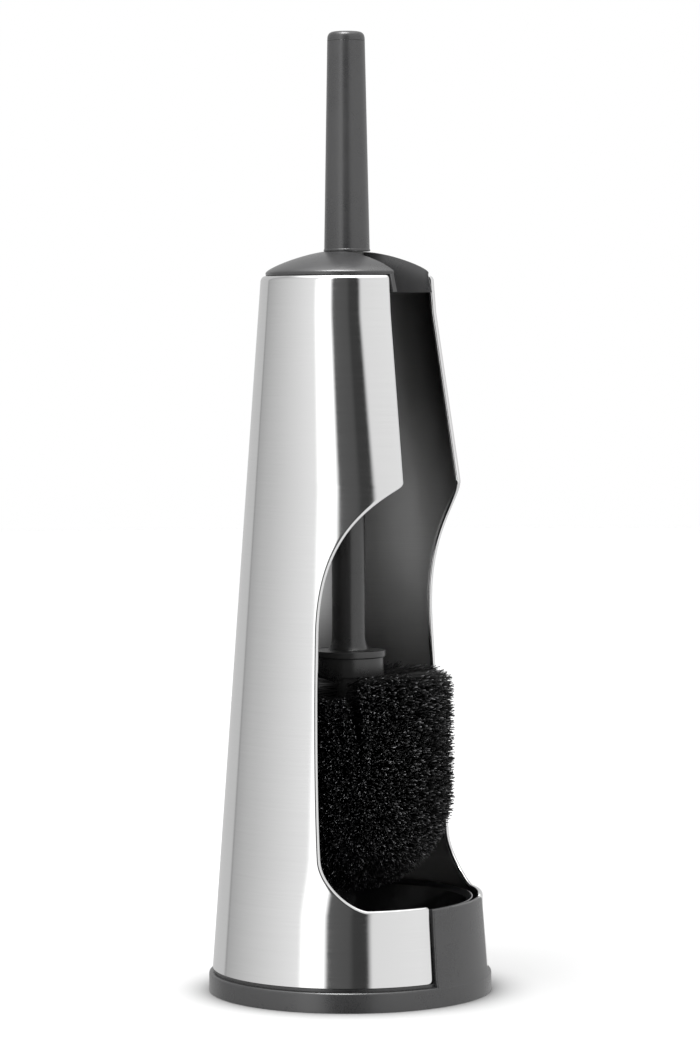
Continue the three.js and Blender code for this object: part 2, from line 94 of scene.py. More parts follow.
COLLAR_RADIUS, COLLAR_BOTTOM, COLLAR_SEAM = 15.9, 143.6, 0.12
CORE_RADIUS, CORE_BOTTOM, CORE_END_ROUND = 14.9, 60, 8
SOCKET_RADIUS, SOCKET_BOTTOM = 6.6, 134.5
CHANNEL_RADIUS, CHANNEL_TOP, MOUTH_WIDTH = 8.8, 142, 5.8

COLUMNS = 12
HEAD_RADIUS, HEAD_TOP, HEAD_SHOULDER, HEAD_BOTTOM = 46.7, 145.6, 91, 46.2
TIP_RADIUS = 21

LATHE_STEPS = 160
PAST = 5                        # how far a cutting body reaches past the piece that it cuts


# ---- Small geometry tools ------------------------------------------------------------------------

def lerp(a, b, share):
    return a + (b - a) * share


def smooth(value, low, high):
    share = min(1, max(0, (value - low) / (high - low)))
    return share * share * (3 - 2 * share)


def polar(radius, theta, z):
    """A point at a radius and at an angle from the slot."""
    angle = math.radians(theta)
    return (radius * math.sin(angle), -radius * math.cos(angle), z)


def bezier(controls, steps):
    """Points along a line or a Bezier curve of any degree, both ends included."""
    points = []
    for k in range(steps + 1):
        layer = [Vector(control) for control in controls]
        while len(layer) > 1:
            layer = [a.lerp(b, k / steps) for a, b in zip(layer, layer[1:])]
        points.append(layer[0])
    return points


def rounded(corners, steps=6):
    """An outline of (radius, height, cut) corners, each rounded by a curve that starts cut away from it."""
    outline = []
    for i, (radius, z, cut) in enumerate(corners):
        here = Vector((radius, z))
        if not cut:
            outline.append(here)
            continue
        before = Vector(corners[i - 1][:2]) - here
        after = Vector(corners[(i + 1) % len(corners)][:2]) - here
        outline += bezier([here + before.normalized() * cut, here, here + after.normalized() * cut], steps)
    return outline


def new_object(name, vertices, faces):
    """A mesh object whose vertices are given in millimetres, smooth apart from its sharp edges."""
    mesh = bpy.data.meshes.new(name)
    mesh.from_pydata([Vector(v) * MM for v in vertices], [], faces)
    mesh.validate()
    thing = bpy.data.objects.new(name, mesh)
    bpy.context.scene.collection.objects.link(thing)
    soften(thing)
    return thing


def soften(thing, degrees=35):
    thing.data.polygons.foreach_set("use_smooth", [True] * len(thing.data.polygons))
    thing.data.set_sharp_from_angle(angle=math.radians(degrees))


def lathe(name, outline, closed=False, steps=LATHE_STEPS):
    """Turns an outline of (radius, height) points round Z. Anticlockwise outlines face outwards."""
    vertices = []
    rings = []
    for radius, z in outline:
        count = 1 if radius < 1e-6 else steps
        rings.append(list(range(len(vertices), len(vertices) + count)))
        vertices += [polar(radius, 360 * k / steps, z) for k in range(count)]
    pairs = list(zip(rings, rings[1:]))
    if closed:
        pairs.append((rings[-1], rings[0]))
    faces = []
    for low, high in pairs:
        for k in range(steps):
            below = [low[i % len(low)] for i in (k, k + 1)]
            above = [high[i % len(high)] for i in (k + 1, k)]
            kept = list(dict.fromkeys(below + above))
            if len(kept) > 2:
                faces.append(kept)
    return new_object(name, vertices, faces)


def loft(name, rings):
    """A closed body through rings of equally many points, from the lowest ring to the highest."""
    count = len(rings[0])
    vertices = [point for ring in rings for point in ring]
    faces = [list(range(count))[::-1]]
    for layer in range(len(rings) - 1):
        for k in range(count):
            here = layer * count
            there = here + count
            following = (k + 1) % count
            faces.append([here + k, here + following, there + following, there + k])
    faces.append(list(range(len(vertices) - count, len(vertices))))
    return new_object(name, vertices, faces)


def combine(thing, operation, other):
    """Joins, cuts or clips thing by another closed body, which is used up."""
    modifier = thing.modifiers.new("combine", "BOOLEAN")
    modifier.operation = operation
    modifier.solver = "MANIFOLD"
    modifier.object = other
    graph = bpy.context.evaluated_depsgraph_get()
    result = bpy.data.meshes.new_from_object(thing.evaluated_get(graph))
    result.materials.clear()
    thing.modifiers.clear()
    thing.data = result
    bpy.data.objects.remove(other)
    soften(thing)
    return thing


def box_body(name, half_x, half_y, bottom, top):
    outline = [(-half_x, -half_y), (half_x, -half_y), (half_x, half_y), (-half_x, half_y)]
    return loft(name, [[(x, y, z) for x, y in outline] for z in (bottom, top)])


def finish_piece(thing, body, slot, node, *materials):
    """Gives a piece its materials, attaches it to its body and hides the CAD node that it stands for."""
    for material in materials:
        thing.data.materials.append(material)
    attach(thing, body)
    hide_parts(node)


# ---- Material tools ------------------------------------------------------------------------------

class Finish:
    """A node material built round one Principled shader."""

    def __init__(self, name, **sockets):
        self.material = bpy.data.materials.new(name)
        self.material.use_nodes = True
        self.nodes = self.material.node_tree.nodes
        self.links = self.material.node_tree.links
        self.shader = self.nodes["Principled BSDF"]
        self.place = self.nodes.new("ShaderNodeTexCoord").outputs["Object"]
        for socket, value in sockets.items():
            self.shader.inputs[socket.replace("_", " ")].default_value = value

    def link(self, output, target):
        self.links.new(output, self.shader.inputs[target] if isinstance(target, str) else target)

    def noise(self, size, stretch=(1, 1, 1), detail=3, roughness=0.55):
        """Noise with features of about the given size in millimetres, stretched along each axis."""
        mapping = self.nodes.new("ShaderNodeMapping")
        mapping.inputs["Scale"].default_value = [1 / (size * MM * s) for s in stretch]
        texture = self.nodes.new("ShaderNodeTexNoise")
        texture.inputs["Scale"].default_value = 1
        texture.inputs["Detail"].default_value = detail
        texture.inputs["Roughness"].default_value = roughness
        self.links.new(self.place, mapping.inputs["Vector"])
        self.links.new(mapping.outputs["Vector"], texture.inputs["Vector"])
        return texture.outputs["Fac"]

    def between(self, value, low, high, to_low, to_high):
        node = self.nodes.new("ShaderNodeMapRange")
        sockets = ("From Min", "From Max", "To Min", "To Max")
        for socket, number in zip(sockets, (low, high, to_low, to_high)):
            node.inputs[socket].default_value = number
        self.links.new(value, node.inputs["Value"])
        return node.outputs["Result"]

    def mix(self, share, first, second):
        node = self.nodes.new("ShaderNodeMix")
        node.data_type = "RGBA"
        self.links.new(share, node.inputs["Factor"])
        for socket, colour in (("A", first), ("B", second)):
            target = [s for s in node.inputs if s.name == socket and s.type == "RGBA"][0]
            if isinstance(colour, tuple):
                target.default_value = (*colour, 1)
            else:
                self.links.new(colour, target)
        return [s for s in node.outputs if s.type == "RGBA"][0]

    def add(self, first, second):
        node = self.nodes.new("ShaderNodeMath")
        node.operation = "ADD"
        self.links.new(first, node.inputs[0])
        self.links.new(second, node.inputs[1])
        return node.outputs[0]

    def bump(self, *layers):
        """Stacks bump layers of (height, distance in millimetres, strength)."""
        normal = None
        for height, distance, strength in layers:
            node = self.nodes.new("ShaderNodeBump")
            node.inputs["Distance"].default_value = distance * MM
            node.inputs["Strength"].default_value = strength
            self.links.new(height, node.inputs["Height"])
            if normal:
                self.links.new(normal, node.inputs["Normal"])
            normal = node.outputs["Normal"]
        self.link(normal, "Normal")

    def edges(self, low=0.52, high=0.6):
        """Where the surface is convex, such as along a worn edge."""
        geometry = self.nodes.new("ShaderNodeNewGeometry")
        return self.between(geometry.outputs["Pointiness"], low, high, 0, 1)

    def attribute(self, name):
        node = self.nodes.new("ShaderNodeAttribute")
        node.attribute_name = name
        return node.outputs["Fac"]


TOP_SHADE_HEIGHTS = 0.2, 0.27     # in metres, where the shade begins and is full


def brushed_steel(name, dark, light, roughness, top_shade=1.0):
    """Sheet steel with fine brushing round the cone, faint smears and brighter edges.

    The top_shade darkens it towards the top, to stand in for the deep shade high up inside the cone.
    """
    finish = Finish(name, Metallic=1.0, Anisotropic=0.6, Anisotropic_Rotation=0.25)
    tangent = finish.nodes.new("ShaderNodeTangent")
    tangent.direction_type = "RADIAL"
    tangent.axis = "Z"
    finish.link(tangent.outputs["Tangent"], "Tangent")
    lines = finish.noise(0.5, stretch=(90, 90, 1), detail=4, roughness=0.7)
    smears = finish.noise(26, stretch=(1, 1, 2.2), detail=4)
    tone = finish.mix(lines, dark, light)
    if top_shade < 1:
        height = finish.nodes.new("ShaderNodeSeparateXYZ")
        finish.links.new(finish.place, height.inputs[0])
        upper = finish.between(height.outputs["Z"], *TOP_SHADE_HEIGHTS, 0, 1)
        tone = finish.mix(upper, tone, tuple(top_shade * c for c in dark))
    finish.link(finish.mix(finish.edges(), tone, tuple(min(1, 1.08 * c) for c in light)), "Base Color")
    streaks = finish.between(lines, 0.3, 0.7, roughness - 0.03, roughness + 0.04)
    haze = finish.between(smears, 0.4, 0.7, -0.012, 0.03)
    finish.link(finish.add(streaks, haze), "Roughness")
    finish.bump((lines, 0.004, 0.2))
    return finish.material


def moulded_plastic(name, dark, light, pale_part, roughness, grain=0.32, depth=0.012):
    """Satin moulded plastic with a fine grain, uneven gloss and paler edges."""
    finish = Finish(name, Specular_IOR_Level=0.8)
    patches = finish.noise(17, detail=4)
    fine = finish.noise(grain, detail=2)
    tone = finish.mix(finish.between(patches, 0.3, 0.7, 0, 1), dark, light)
    finish.link(finish.mix(finish.edges(), tone, pale_part), "Base Color")
    satin = finish.between(patches, 0.3, 0.7, roughness - 0.035, roughness + 0.035)
    speckle = finish.between(fine, 0.3, 0.7, -0.02, 0.02)
    finish.link(finish.add(satin, speckle), "Roughness")
    finish.bump((fine, depth, 0.5), (finish.noise(9, detail=1), 0.05, 0.08))
    return finish.material


def glossy_plastic(name):
    """Glossy black plastic with faint rubbed streaks."""
    finish = Finish(name, Coat_Weight=0.4, Coat_Roughness=0.06)
    rubbed = finish.noise(1.2, stretch=(1, 1, 14), detail=4, roughness=0.7)
    clouds = finish.noise(22, detail=3)
    finish.link(finish.mix(clouds, (0.006, 0.006, 0.0065), (0.012, 0.012, 0.013)), "Base Color")
    finish.link(finish.between(rubbed, 0.35, 0.75, 0.13, 0.26), "Roughness")
    finish.bump((clouds, 0.08, 0.15))
    return finish.material


def nylon_filament(name):
    """Black nylon. A few filaments have paler ends, a painted highlight for the glints on their tips. Each
    filament has its own shade.
    """
    finish = Finish(name, Roughness=0.34)
    shade = finish.attribute("shade")
    # Painted highlight: the last tenth of each filament takes its speck colour, which is pale on a few
    # filaments.
    pale_part = finish.between(finish.attribute("along"), 0.9, 1.0, 0, 1)
    speck = finish.mix(shade, (0.012, 0.012, 0.0125), (0.44, 0.44, 0.45))
    stem = finish.mix(finish.noise(3, detail=2), (0.003, 0.003, 0.003), (0.009, 0.009, 0.009))
    finish.link(finish.mix(pale_part, stem, speck), "Base Color")
    finish.bump((finish.noise(0.25, detail=1), 0.01, 0.3))
    return finish.material


steel = brushed_steel("polished_steel", (0.76, 0.76, 0.76), (0.84, 0.84, 0.84), 0.1)
inside_steel = brushed_steel("dull_steel", (0.5, 0.5, 0.5), (0.62, 0.62, 0.62), 0.34, top_shade=0.66)
grey_plastic = moulded_plastic(
    "grey_plastic",
    dark=(0.036, 0.036, 0.037),
    light=(0.044, 0.044, 0.045),
    pale_part=(0.07, 0.07, 0.071),
    roughness=0.29,
)
head_plastic = moulded_plastic(
    "black_plastic",
    dark=(0.02, 0.02, 0.02),
    light=(0.028, 0.028, 0.028),
    pale_part=(0.06, 0.06, 0.06),
    roughness=0.3,
)
bucket_plastic = glossy_plastic("gloss_plastic")
nylon = nylon_filament("nylon")


# ---- Jacket --------------------------------------------------------------------------------------

def cone_radius(z):
    return CONE_AT_ZERO - CONE_TAPER * z


def jacket_radius(theta, z):
    """The flaps beside the slot stand out from the cone, and the top edge is rounded inwards."""
    growth = min(1, max(0, (FLARE_TOP - z) / (FLARE_TOP - FLARE_FULL)))
    share = (FLARE_FADE_TO - abs(theta)) / (FLARE_FADE_TO - FLARE_FADE_FROM)
    flare = FLARE * growth * smooth(z, *FLARE_LOW) * min(1, max(0, share)) ** FLARE_FADE_POWER
    above = max(0, z - (JACKET_TOP - SHOULDER))
    return cone_radius(z) + flare - SHOULDER + math.sqrt(max(0, SHOULDER ** 2 - above ** 2))


def cut_edge():
    """The cut edge on one side as (theta, height) points, from the top of the slot to the notch's foot."""
    shoulder = JACKET_TOP - SHOULDER
    flap = (SLOT_ANGLE, 233)
    below_flap = (32, 229.9)
    widest = (OPENING_ANGLE, 165)
    low = (70.9, 67)
    band_end = (50, BAND_TOP)
    notch_top = (NOTCH_ANGLE + 2.5, BAND_TOP)
    notch_side = (NOTCH_ANGLE, BAND_TOP - 2.6)
    notch_low = (NOTCH_ANGLE, JACKET_BOTTOM + 2.2)
    stretches = [
        ([(SLOT_ANGLE, JACKET_TOP), (SLOT_ANGLE, shoulder)], 8),
        ([(SLOT_ANGLE, shoulder), (SLOT_ANGLE, FLARE_TOP)], 6),
        ([(SLOT_ANGLE, FLARE_TOP), flap], 24),
        ([flap, (SLOT_ANGLE, 231.4), below_flap], 14),
        ([below_flap, (62.7, 215.5), (OPENING_ANGLE, 195), widest], 44),
        ([widest, (OPENING_ANGLE, 134.6), (72.6, 96.2), low], 24),
        ([low, (70.3, 56), (56.6, BAND_TOP), band_end], 34),
        ([band_end, notch_top], 12),
        ([notch_top, (NOTCH_ANGLE, BAND_TOP), notch_side], 12),
        ([notch_side, notch_low], 10),
        ([notch_low, (NOTCH_ANGLE, JACKET_BOTTOM), (NOTCH_ANGLE + 2, JACKET_BOTTOM)], 10),
    ]
    points = []
    for controls, steps in stretches:
        points += bezier(controls, steps)[1 if points else 0:]
    return points


def into_sheet(edge, i):
    """The direction along the sheet and away from the cut, in millimetres, at point i of the edge."""
    near_top = smooth(edge[i].y, JACKET_TOP - 2 * SHOULDER, JACKET_TOP - SHOULDER)
    near_foot = 1 - smooth(edge[i].y, JACKET_BOTTOM + 1, JACKET_BOTTOM + 3)
    before = edge[max(0, i - 1)]
    after = edge[min(len(edge) - 1, i + 1)]
    along = math.radians(after.x - before.x) * cone_radius(edge[i].y)
    away = Vector((before.y - after.y, along)).normalized()
    return away.lerp(Vector((1, 0)), max(near_top, near_foot)).normalized()


def lip_outline(reach, bend_steps=9):
    """The curled lip as (distance from the cut, inset) pairs, from its hemmed end to the flat sheet."""
    bend = [math.pi / 2 * k / bend_steps for k in range(bend_steps + 1)]
    curl = [(LIP_RADIUS - reach * math.cos(a), LIP_RADIUS - reach * math.sin(a)) for a in bend]
    under = reach - LIP_RADIUS + HEM_RADIUS
    hem = [(HEM_RADIUS - under * math.sin(a), LIP_DEPTH - HEM_RADIUS + under * math.cos(a)) for a in bend]
    return [(HEM_END, LIP_DEPTH - HEM_RADIUS + under)] + hem + curl


SIDEWAYS_SHARE = 0.12           # a degree sideways along the cut counts as this many millimetres down
COLUMN_CROWDING = 1.25          # above 1, the sheet's columns stand closer together near the lip


def jacket_row(edge, i, back_height, columns=56):
    """One row of the sheet on the +theta side, as its outer and inner face: lip, then sheet to the back."""
    start = edge[i]
    away = into_sheet(edge, i)
    per_mm = math.degrees(1 / cone_radius(start.y))
    faces = []
    for reach, base_inset in ((LIP_RADIUS, 0), (LIP_RADIUS - SHEET, SHEET)):
        face = []
        for distance, inset in lip_outline(reach):
            theta = start.x + away.x * distance * per_mm
            z = start.y + away.y * distance
            face.append((jacket_radius(theta, z) - inset, theta, z))
        _, theta, z = face[-1]
        for k in range(1, columns + 1):
            share = (k / columns) ** COLUMN_CROWDING
            spot = (lerp(theta, 180, share), lerp(z, back_height, share))
            face.append((jacket_radius(*spot) - base_inset, *spot))
        faces.append(face)
    return faces


def make_jacket():
    edge = cut_edge()
    travelled = [0]
    for before, after in zip(edge, edge[1:]):
        travelled.append(travelled[-1] + before.y - after.y + SIDEWAYS_SHARE * abs(after.x - before.x))
    heights = [lerp(JACKET_TOP, JACKET_BOTTOM, t / travelled[-1]) for t in travelled]
    vertices = []
    for i, back_height in enumerate(heights):
        for face in jacket_row(edge, i, back_height):
            left = [polar(r, -theta, z) for r, theta, z in face]
            right = [polar(r, theta, z) for r, theta, z in face[:-1]]
            vertices += left + right[::-1]
    width = len(vertices) // (2 * len(edge))
    outer_faces = []
    inner_faces = []
    rim_faces = []
    last = len(edge) - 1
    for i in range(len(edge)):
        outer = 2 * width * i
        inner = outer + width
        below = outer + 2 * width
        inner_below = below + width
        if i < last:
            for j in range(width - 1):
                outer_faces.append((outer + j, outer + j + 1, below + j + 1, below + j))
                inner_faces.append((inner + j, inner_below + j, inner_below + j + 1, inner + j + 1))
            end = width - 1
            rim_faces.append((outer, below, inner_below, inner))
            rim_faces.append((outer + end, inner + end, inner_below + end, below + end))
    for j in range(width - 1):
        foot = 2 * width * last
        rim_faces.append((j, width + j, width + j + 1, j + 1))
        rim_faces.append((foot + j, foot + j + 1, foot + width + j + 1, foot + width + j))
    jacket = new_object("steel_jacket", vertices, outer_faces + inner_faces + rim_faces)
    finish_piece(jacket, "holder", "steel", "jacket", steel, inside_steel)
    # The lip's inner face is polished with the rest of the cut, and only the flat inside is dull.
    lip = len(lip_outline(LIP_RADIUS))
    for k in range(len(inner_faces)):
        column = k % (width - 1)
        if lip - 2 <= column < width - lip:
            jacket.data.polygons[len(outer_faces) + k].material_index = 1


# ---- Base ----------------------------------------------------------------------------------------

def sector(name, half_angle, inner, outer, bottom, top, steps=24):
    """A piece of a thick ring, centred on the slot direction."""
    angles = [lerp(-half_angle, half_angle, k / steps) for k in range(steps + 1)]
    outline = [polar(outer, a, 0)[:2] for a in angles] + [polar(inner, a, 0)[:2] for a in angles[::-1]]
    return loft(name, [[(x, y, z) for x, y in outline] for z in (bottom, top)])


def make_panel():
    """Sections side by side. Their face carries on the ring's, and turns away softly at both ends."""
    def face(z):
        return cone_radius(z) + PANEL_PROUD

    low, foot_top = RING_HEIGHT - RING_ROUND, RING_HEIGHT + PANEL_FOOT_RISE
    corner_steps, face_steps = 8, 20
    back = face(PANEL_TOP) - PANEL_WALL
    turn = math.degrees(PANEL_CORNER / cone_radius(0))
    flat = PANEL_ANGLE - turn
    corner = []
    for k in range(1, corner_steps + 1):
        bend = math.pi / 2 * k / corner_steps
        corner.append((flat + turn * math.sin(bend), PANEL_CORNER * (1 - math.cos(bend))))
    half = [(flat * k / face_steps, 0) for k in range(face_steps + 1)] + corner
    columns = [(-theta, inset) for theta, inset in half[:0:-1]] + half
    rings = []
    for theta, inset in columns:
        foot = bezier([
            (BASE_RADIUS - RING_DRAFT - inset, low),
            (face(RING_HEIGHT) + 0.4 - inset, RING_HEIGHT + 0.6),
            (face(foot_top) - inset, foot_top),
        ], 10)
        outline = foot + rounded([
            (face(foot_top) - inset, foot_top, 0),
            (face(PANEL_TOP) - inset, PANEL_TOP, 0.9),
            (back, PANEL_TOP, 0.5),
            (back, low, 0),
        ])[1:]
        rings.append([polar(r, theta, z) for r, z in outline])
    panel = loft("panel", rings)
    panel.data.flip_normals()
    return panel


def make_base():
    def upstand_outer(z):
        return cone_radius(z) - SHEET - UPSTAND_PLAY

    base = lathe("moulded_base", rounded([
        (0, FLOOR_BOTTOM, 0),
        (BASE_RADIUS - FOOT_WIDTH, FLOOR_BOTTOM, 0.5),
        (BASE_RADIUS - FOOT_WIDTH, 0, 0.6),
        (BASE_RADIUS, 0, 0.5),
        (BASE_RADIUS - RING_DRAFT, RING_HEIGHT, RING_ROUND),
        (LEDGE_RADIUS, RING_HEIGHT, 0.3),
        (LEDGE_RADIUS, LEDGE_HEIGHT, 0.3),
        (upstand_outer(LEDGE_HEIGHT), LEDGE_HEIGHT, 0.2),
        (upstand_outer(UPSTAND_TOP), UPSTAND_TOP, 0.5),
        (UPSTAND_INNER, UPSTAND_TOP, 0.4),
        (UPSTAND_INNER, FLOOR_TOP, 0.8),
        (0, FLOOR_TOP, 0),
    ]), steps=240)
    inner, outer = UPSTAND_INNER - GAP, BASE_RADIUS + 5 * PAST
    notch = sector("notch", NOTCH_ANGLE + NOTCH_MARGIN, inner, outer, LEDGE_HEIGHT, UPSTAND_TOP + PAST)
    combine(base, "DIFFERENCE", notch)
    combine(base, "UNION", make_panel())
    finish_piece(base, "holder", "grey_plastic", "base", grey_plastic)


# ---- Bucket, cap, grip and stem ------------------------------------------------------------------

def make_bucket():
    rim_bottom = BUCKET_TOP - BUCKET_RIM_HEIGHT
    bucket = lathe("drip_bucket", rounded([
        (0, BUCKET_BOTTOM, 0),
        (BUCKET_FOOT_RADIUS, BUCKET_BOTTOM, 3),
        (BUCKET_TOP_RADIUS, rim_bottom, 0.5),
        (BUCKET_RIM_RADIUS, rim_bottom, 0.4),
        (BUCKET_RIM_RADIUS, BUCKET_TOP, 1.1),
        (BUCKET_TOP_RADIUS - BUCKET_WALL, BUCKET_TOP - BUCKET_RIM_SLOPE, 0.9),
        (BUCKET_FOOT_RADIUS - BUCKET_WALL, BUCKET_BOTTOM + BUCKET_WALL, 3),
        (0, BUCKET_BOTTOM + BUCKET_WALL, 0),
    ]), steps=200)
    finish_piece(bucket, "bucket", "bucket_plastic", "inner_bucket", bucket_plastic)


def dome_curve(inset=0, steps=28):
    """The dome's outer section from its rim inwards, or a face that lies under it."""
    rim, *others = DOME
    controls = [(rim[0] - inset, rim[1] - inset / 2)] + [(r - inset, z - inset) for r, z in others]
    return bezier(controls, steps)


def dome_height(radius):
    """Height of the cap's outer face at a radius."""
    points = dome_curve()
    for outer, inner in zip(points, points[1:]):
        if inner.x <= radius <= outer.x:
            return lerp(outer.y, inner.y, (outer.x - radius) / (outer.x - inner.x))
    return CAP_TOP if radius < points[-1].x else points[0].y


def slot_outline(margin, reach=80, steps=20):
    """The cap's slot, round at the stem's seat and widening towards -Y, grown by a margin."""
    seat = SLOT_SEAT + margin
    spread = (SLOT_HALF_AT_RIM - SLOT_SEAT) / CAP_RIM_RADIUS
    side = [k * reach / steps for k in range(steps, 0, -1)]
    right = [(seat + spread * y, -y) for y in side]
    seat_end = [(seat * math.cos(a), seat * math.sin(a)) for a in (math.pi * k / 32 for k in range(33))]
    left = [(-x, y) for x, y in right[::-1]]
    return right + seat_end + left


def slot_cutter():
    """The slot's prism. It flares out just under the dome's face, so that the cut has a soft edge."""
    # Each level is its height over the dome's face, and how much wider than the slot it is.
    levels = [(-0.4, 0), (-0.15, 0.05), (-0.04, 0.16), (0.02, 0.4), (PAST + 1, 0.4)]
    rings = [[(x, y, SKIRT_BOTTOM - 2) for x, y in slot_outline(0)]]
    for rise, margin in levels:
        rings.append([(x, y, dome_height(math.hypot(x, y)) + rise) for x, y in slot_outline(margin)])
    return loft("slot", rings)


def cap_shell():
    """Dome and skirt with the hollow under them, before the slot is cut."""
    skirt = rounded([
        (SKIRT_FOOT_RADIUS - CAP_WALL, SKIRT_BOTTOM, 0.3),
        (SKIRT_FOOT_RADIUS, SKIRT_BOTTOM, 0.3),
        (SKIRT_TOP_RADIUS, CAP_RIM_BOTTOM, 0.3),
        (CAP_RIM_RADIUS, CAP_RIM_BOTTOM, 0.2),
    ])[1:]
    inner_rim = Vector((SKIRT_TOP_RADIUS - CAP_WALL, CAP_RIM_BOTTOM - CAP_WALL))
    hollow = [inner_rim] + [p for p in dome_curve(CAP_WALL) if p.x < inner_rim.x - 0.5]
    axis = [Vector((0, CAP_TOP)), Vector((0, CAP_TOP - CAP_WALL))]
    return lathe("slotted_cap", skirt + dome_curve() + axis + hollow[::-1], closed=True, steps=200)


def wall_reach():
    """How far out the slot's walls go: just under the dome, and out through the jacket's slot below it."""
    inset = 0.1
    foot = rounded([
        (0, SKIRT_BOTTOM, 0),
        (SLOT_WALL_FOOT, SKIRT_BOTTOM, 0.4),
        (CAP_RIM_RADIUS - inset, CAP_RIM_BOTTOM, 0),
    ])
    return lathe("wall_reach", foot + dome_curve(inset) + [Vector((0, CAP_TOP - inset))], steps=120)


def make_cap():
    cap = cap_shell()
    low, high = SKIRT_BOTTOM - PAST, CAP_TOP + PAST
    walls = loft("walls", [[(x, y, z) for x, y in slot_outline(CAP_WALL)] for z in (low, high)])
    combine(walls, "INTERSECT", wall_reach())
    combine(cap, "UNION", walls)
    combine(cap, "DIFFERENCE", slot_cutter())
    finish_piece(cap, "holder", "grey_plastic", "top_cap", grey_plastic)


def make_grip():
    bore = INSERT_RADIUS + GAP
    plug = END_PLUG_RADIUS + GAP
    step = GRIP_BOTTOM + INSERT_LENGTH + 2
    grip = lathe("handle_tube", rounded([
        (bore, GRIP_BOTTOM, 0.3),
        (GRIP_FOOT_RADIUS + FOOT_BEAD, GRIP_BOTTOM, 0.3),
        (GRIP_FOOT_RADIUS + FOOT_BEAD, GRIP_BOTTOM + 0.8, 0.3),
        (GRIP_FOOT_RADIUS, GRIP_BOTTOM + 1.1, 0.1),
        (GRIP_TOP_RADIUS, GRIP_SEAM, 0.12),
        (plug, GRIP_SEAM, 0.1),
        (plug, step, 0.4),
        (bore, step - 1, 0.4),
    ]), closed=True)
    finish_piece(grip, "brush", "grey_plastic", "handle_grip", grey_plastic)
    seam = GRIP_SEAM + SEAM_GAP
    end_cap = lathe("rounded_end_cap", rounded([
        (0, seam - END_PLUG_LENGTH, 0),
        (END_PLUG_RADIUS, seam - END_PLUG_LENGTH, 0.5),
        (END_PLUG_RADIUS, seam, 0.2),
        (GRIP_TOP_RADIUS, seam, 0.12),
        (GRIP_TOP_RADIUS - 0.15, TOTAL_HEIGHT - 0.3, 3),
        (0, TOTAL_HEIGHT, 0),
    ], steps=12))
    finish_piece(end_cap, "brush", "grey_plastic", "handle_end_cap", grey_plastic)


def make_stem():
    shoulder = CAP_TOP
    flare = bezier([
        (FLARE_FOOT_RADIUS, FLANGE_TOP),
        (STEM_RADIUS + 0.2, FLANGE_TOP + 1.5),
        (STEM_RADIUS, FLANGE_TOP + STEM_FLARE_HEIGHT),
    ], 14)
    stem = lathe("brush_stem", rounded([
        (0, PLUG_BOTTOM, 0),
        (PLUG_RADIUS, PLUG_BOTTOM, 0.6),
        (PLUG_RADIUS, FLANGE_BOTTOM, 0.3),
        (FLANGE_RADIUS, FLANGE_BOTTOM, 0.4),
        (FLANGE_RADIUS, FLANGE_TOP, 0.5),
    ]) + flare + rounded([
        (STEM_RADIUS, shoulder, 0.4),
        (INSERT_RADIUS, shoulder, 0.2),
        (INSERT_RADIUS, shoulder + INSERT_LENGTH, 0.6),
        (0, shoulder + INSERT_LENGTH, 0),
    ]))
    lugs = box_body("lugs", LUG_REACH, LUG_WIDTH / 2, LUG_BOTTOM, LUG_BOTTOM + LUG_HEIGHT)
    combine(stem, "UNION", lugs)
    finish_piece(stem, "brush", "head_plastic", "stem", head_plastic)


# ---- Brush head ----------------------------------------------------------------------------------

def make_core():
    collar_top = FLANGE_BOTTOM - COLLAR_SEAM
    core = lathe("collar_and_core", rounded([
        (0, CORE_BOTTOM, 0),
        (CORE_RADIUS, CORE_BOTTOM, CORE_END_ROUND),
        (CORE_RADIUS, COLLAR_BOTTOM, 0.2),
        (COLLAR_RADIUS, COLLAR_BOTTOM, 0.3),
        (COLLAR_RADIUS, collar_top, 0.2),
        (SOCKET_RADIUS, collar_top, 0.3),
        (SOCKET_RADIUS, CHANNEL_TOP, 0.1),
        (CHANNEL_RADIUS, CHANNEL_TOP, 0.3),
        (CHANNEL_RADIUS, SOCKET_BOTTOM + 2, 0.3),
        (SOCKET_RADIUS, SOCKET_BOTTOM + 2, 0.1),
        (SOCKET_RADIUS, SOCKET_BOTTOM, 0.3),
        (0, SOCKET_BOTTOM, 0),
    ]))
    mouth = box_body("mouth", MOUTH_WIDTH / 2, CHANNEL_RADIUS - 0.1, CHANNEL_TOP - 1, collar_top + 1)
    combine(core, "DIFFERENCE", mouth)
    finish_piece(core, "brush_head", "head_plastic", "head_core", head_plastic)


FILAMENT_RADIUS, FILAMENT_STEPS = 0.21, 6
FILAMENT_SAG, FILAMENT_HOOK = 0.9, (0.3, 1.7)         # how far a filament bends on its way and at its tip
HOOK_FROM, HOOK_LENGTH = 0.82, 0.18                   # where along the filament the hook is
WAVE, WAVINESS = 0.5, 9
SPECK_RARITY = 7                                      # the higher, the fewer filaments have a pale end
TUFT_PITCH, FILAMENTS_PER_TUFT = 3.3, 14              # the pitch is measured along the head's outline
TIP_SCATTER, ROOT_SCATTER = 0.8, 0.8                  # of the tips in pitches, and the roots in millimetres
TIP_FAN, ROOT_FAN = 0.85, 0.2                         # how far round the head a tuft spreads, in pitches
LENGTH_MIDDLE, LENGTH_SPREAD, LENGTH_MOST = -1.5, 1.5, 1.4      # against the head's outline
STRAYS, STRAY_LENGTH = 0.07, (0.5, 2.6)               # how many filaments stand out, and by how much
TOP_ROUND, TOP_INSET = 6, 0.7                         # how far down, and by what share, the top is rounded
ROOT_TOP, ROOT_SHOULDER = COLLAR_BOTTOM - 1.5, 86     # heights of the roots at the top and the shoulder
SIDE_TURN = 0.9               # past this bend, in radians, filaments grow from the end of the core
PART_TOP, PART_FOOT = (-57.5, 152), (-50, 104)        # a bare line down the head, as (theta, height)
PART_HALF_WIDTH, PART_TAPER = (4.2, 0.7), 0.8
DENT_THETA, DENT_HALF_ANGLE = -67, 15                 # where the topmost filaments lie lower
DENT_DEPTH, DENT_EDGE = 8, 4


